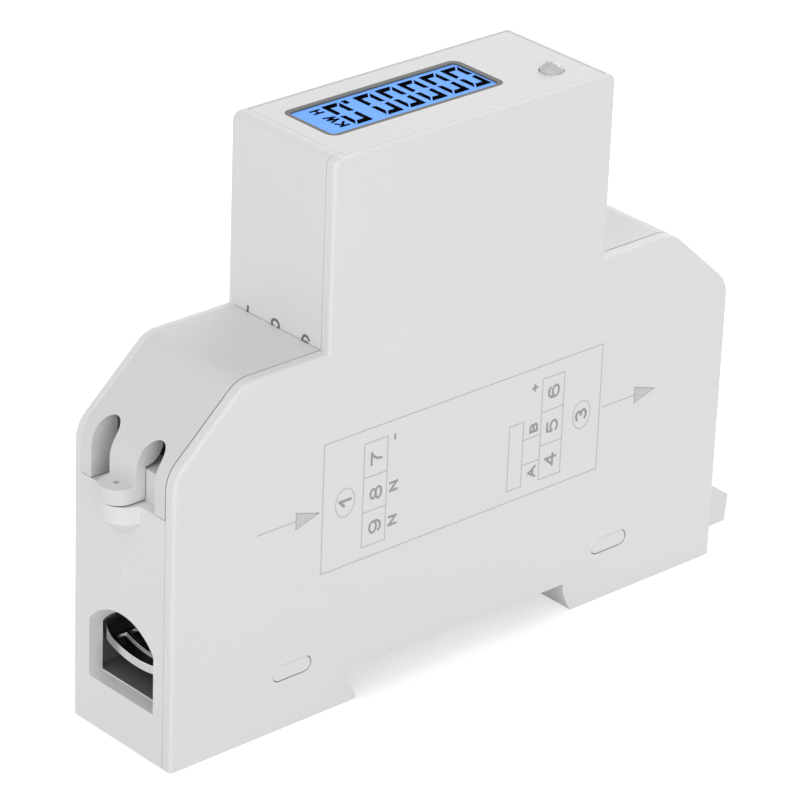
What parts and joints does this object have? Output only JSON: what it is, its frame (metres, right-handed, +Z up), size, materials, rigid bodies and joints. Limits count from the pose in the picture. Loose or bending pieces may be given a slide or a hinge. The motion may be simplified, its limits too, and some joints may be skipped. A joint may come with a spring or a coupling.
{
  "type": "rail-mounted energy meter",
  "caption": "Slim rail-mounted energy meter: stepped light grey case with a lit digital display on top, removable terminal covers, lifting wire clamps and a sprung rail clip.",
  "frame": {"origin": "middle of the underside of the overall box, level with the bottom of the feet", "axes": "+X runs along the meter from the end with the higher terminal numbers to the end with the rail clip, +Y runs from the printed side plate to the plain one, +Z runs up from the mounting rail to the display"},
  "size_m": [0.095, 0.018, 0.0718],
  "materials": {
    "case_plastic": "fine satin texture, moulded polycarbonate",
    "cover_plastic": "fine satin texture, moulded polycarbonate",
    "clip_plastic": "satin, moulded nylon",
    "terminal_plastic": "satin, moulded nylon",
    "bezel_plastic": "matt dark grey",
    "clear_pane": "clear polished acrylic",
    "display_glass": "blue lit liquid crystal cell",
    "segment_ink": "dark liquid crystal segments",
    "light_guide": "milky light guide",
    "board_laminate": "green solder mask on glass laminate",
    "lamp_resin": "clear epoxy, slightly milky",
    "plated_steel": "nickel plated, brushed",
    "screw_steel": "zinc plated",
    "tinned_copper": "tinned copper",
    "resistance_alloy": "copper manganese alloy, satin",
    "chip_resin": "black moulding resin",
    "capacitor_sleeve": "dark sleeve",
    "film_resin": "yellow box",
    "varistor_resin": "blue dipped coating",
    "crystal_can": "drawn metal can"
  },
  "bodies": {
    "case": {"backlight_panel": "light_guide", "board_header": "chip_resin", "case_body": "case_plastic", "control_chip": "chip_resin", "current_bar_left": "tinned_copper", "current_bar_right": "tinned_copper", "current_shunt": "resistance_alloy", "display_bezel": "bezel_plastic", "display_board": "board_laminate", "display_window": "clear_pane", "far_side_plate": "case_plastic", "film_capacitor": "film_resin", "front_plate": "case_plastic", "lcd_glass": "display_glass", "lcd_segments": "segment_ink", "main_board": "board_laminate", "metering_chip": "chip_resin", "near_side_plate": "case_plastic", "opto_couplers": "chip_resin", "pulse_lamp": "lamp_resin", "quartz_crystal": "crystal_can", "signal_block_left": "terminal_plastic", "signal_block_right": "terminal_plastic", "signal_contacts_left": "tinned_copper", "signal_contacts_right": "tinned_copper", "supply_capacitor": "capacitor_sleeve", "terminal_board_left": "board_laminate", "terminal_board_right": "board_laminate", "varistor": "varistor_resin"},
    "rail_clip_body": {"rail_clip": "clip_plastic"},
    "terminal_cover_left_body": {"terminal_cover_left": "cover_plastic"},
    "terminal_cover_right_body": {"terminal_cover_right": "cover_plastic"},
    "clamp_screw_left_body": {"clamp_screw_left": "screw_steel"},
    "clamp_screw_right_body": {"clamp_screw_right": "screw_steel"},
    "clamp_cage_left_body": {"clamp_cage_left": "plated_steel"},
    "clamp_cage_right_body": {"clamp_cage_right": "plated_steel"},
    "signal_screw_4_body": {"signal_screw_4": "screw_steel"},
    "signal_screw_5_body": {"signal_screw_5": "screw_steel"},
    "signal_screw_6_body": {"signal_screw_6": "screw_steel"},
    "signal_screw_7_body": {"signal_screw_7": "screw_steel"},
    "signal_screw_8_body": {"signal_screw_8": "screw_steel"},
    "signal_screw_9_body": {"signal_screw_9": "screw_steel"},
    "signal_cage_4_body": {"signal_cage_4": "plated_steel"},
    "signal_cage_5_body": {"signal_cage_5": "plated_steel"},
    "signal_cage_6_body": {"signal_cage_6": "plated_steel"},
    "signal_cage_7_body": {"signal_cage_7": "plated_steel"},
    "signal_cage_8_body": {"signal_cage_8": "plated_steel"},
    "signal_cage_9_body": {"signal_cage_9": "plated_steel"}
  },
  "joints": [
    {"name": "rail_clip_slide", "type": "slide", "parent": "case", "child": "rail_clip_body", "axis": [1, 0, 0], "range_m": [0, 0.003], "stiffness_N_per_m": 1500, "springref_m": -0.002},
    {"name": "terminal_cover_left_lift", "type": "slide", "parent": "case", "child": "terminal_cover_left_body", "axis": [0, 0, 1], "range_m": [0, 0.03]},
    {"name": "clamp_screw_left_turn", "type": "hinge", "parent": "case", "child": "clamp_screw_left_body", "pos_m": [-0.03598, 0.00017, 0.034], "axis": [0, 0, -1], "range_deg": [-1175, 2885]},
    {"name": "clamp_cage_left_lift", "type": "slide", "parent": "case", "child": "clamp_cage_left_body", "axis": [0, 0, 1], "range_m": [-0.0026, 0.0064]},
    {"name": "terminal_cover_right_lift", "type": "slide", "parent": "case", "child": "terminal_cover_right_body", "axis": [0, 0, 1], "range_m": [0, 0.03]},
    {"name": "clamp_screw_right_turn", "type": "hinge", "parent": "case", "child": "clamp_screw_right_body", "pos_m": [0.03433, 0.00017, 0.034], "axis": [0, 0, -1], "range_deg": [-1175, 2885]},
    {"name": "clamp_cage_right_lift", "type": "slide", "parent": "case", "child": "clamp_cage_right_body", "axis": [0, 0, 1], "range_m": [-0.0026, 0.0064]},
    {"name": "signal_screw_4_turn", "type": "hinge", "parent": "case", "child": "signal_screw_4_body", "pos_m": [0.02583, -0.00483, 0.044], "axis": [0, 0, -1], "range_deg": [-2, 1682]},
    {"name": "signal_cage_4_lift", "type": "slide", "parent": "case", "child": "signal_cage_4_body", "axis": [0, 0, 1], "range_m": [0, 0.0021]},
    {"name": "signal_screw_5_turn", "type": "hinge", "parent": "case", "child": "signal_screw_5_body", "pos_m": [0.02583, 0.00017, 0.044], "axis": [0, 0, -1], "range_deg": [-2, 1682]},
    {"name": "signal_cage_5_lift", "type": "slide", "parent": "case", "child": "signal_cage_5_body", "axis": [0, 0, 1], "range_m": [0, 0.0021]},
    {"name": "signal_screw_6_turn", "type": "hinge", "parent": "case", "child": "signal_screw_6_body", "pos_m": [0.02583, 0.00517, 0.044], "axis": [0, 0, -1], "range_deg": [-2, 1682]},
    {"name": "signal_cage_6_lift", "type": "slide", "parent": "case", "child": "signal_cage_6_body", "axis": [0, 0, 1], "range_m": [0, 0.0021]},
    {"name": "signal_screw_7_turn", "type": "hinge", "parent": "case", "child": "signal_screw_7_body", "pos_m": [-0.02678, 0.00517, 0.044], "axis": [0, 0, -1], "range_deg": [-2, 1682]},
    {"name": "signal_cage_7_lift", "type": "slide", "parent": "case", "child": "signal_cage_7_body", "axis": [0, 0, 1], "range_m": [0, 0.0021]},
    {"name": "signal_screw_8_turn", "type": "hinge", "parent": "case", "child": "signal_screw_8_body", "pos_m": [-0.02678, 0.00017, 0.044], "axis": [0, 0, -1], "range_deg": [-2, 1682]},
    {"name": "signal_cage_8_lift", "type": "slide", "parent": "case", "child": "signal_cage_8_body", "axis": [0, 0, 1], "range_m": [0, 0.0021]},
    {"name": "signal_screw_9_turn", "type": "hinge", "parent": "case", "child": "signal_screw_9_body", "pos_m": [-0.02678, -0.00483, 0.044], "axis": [0, 0, -1], "range_deg": [-2, 1682]},
    {"name": "signal_cage_9_lift", "type": "slide", "parent": "case", "child": "signal_cage_9_body", "axis": [0, 0, 1], "range_m": [0, 0.0021]}
  ],
  "couplings": [
    {"joint": "clamp_screw_left_turn", "follows": "clamp_cage_left_lift", "rad_per_m": 7854},
    {"joint": "clamp_screw_right_turn", "follows": "clamp_cage_right_lift", "rad_per_m": 7854},
    {"joint": "signal_screw_4_turn", "follows": "signal_cage_4_lift", "rad_per_m": 13963},
    {"joint": "signal_screw_5_turn", "follows": "signal_cage_5_lift", "rad_per_m": 13963},
    {"joint": "signal_screw_6_turn", "follows": "signal_cage_6_lift", "rad_per_m": 13963},
    {"joint": "signal_screw_7_turn", "follows": "signal_cage_7_lift", "rad_per_m": 13963},
    {"joint": "signal_screw_8_turn", "follows": "signal_cage_8_lift", "rad_per_m": 13963},
    {"joint": "signal_screw_9_turn", "follows": "signal_cage_9_lift", "rad_per_m": 13963}
  ]
}
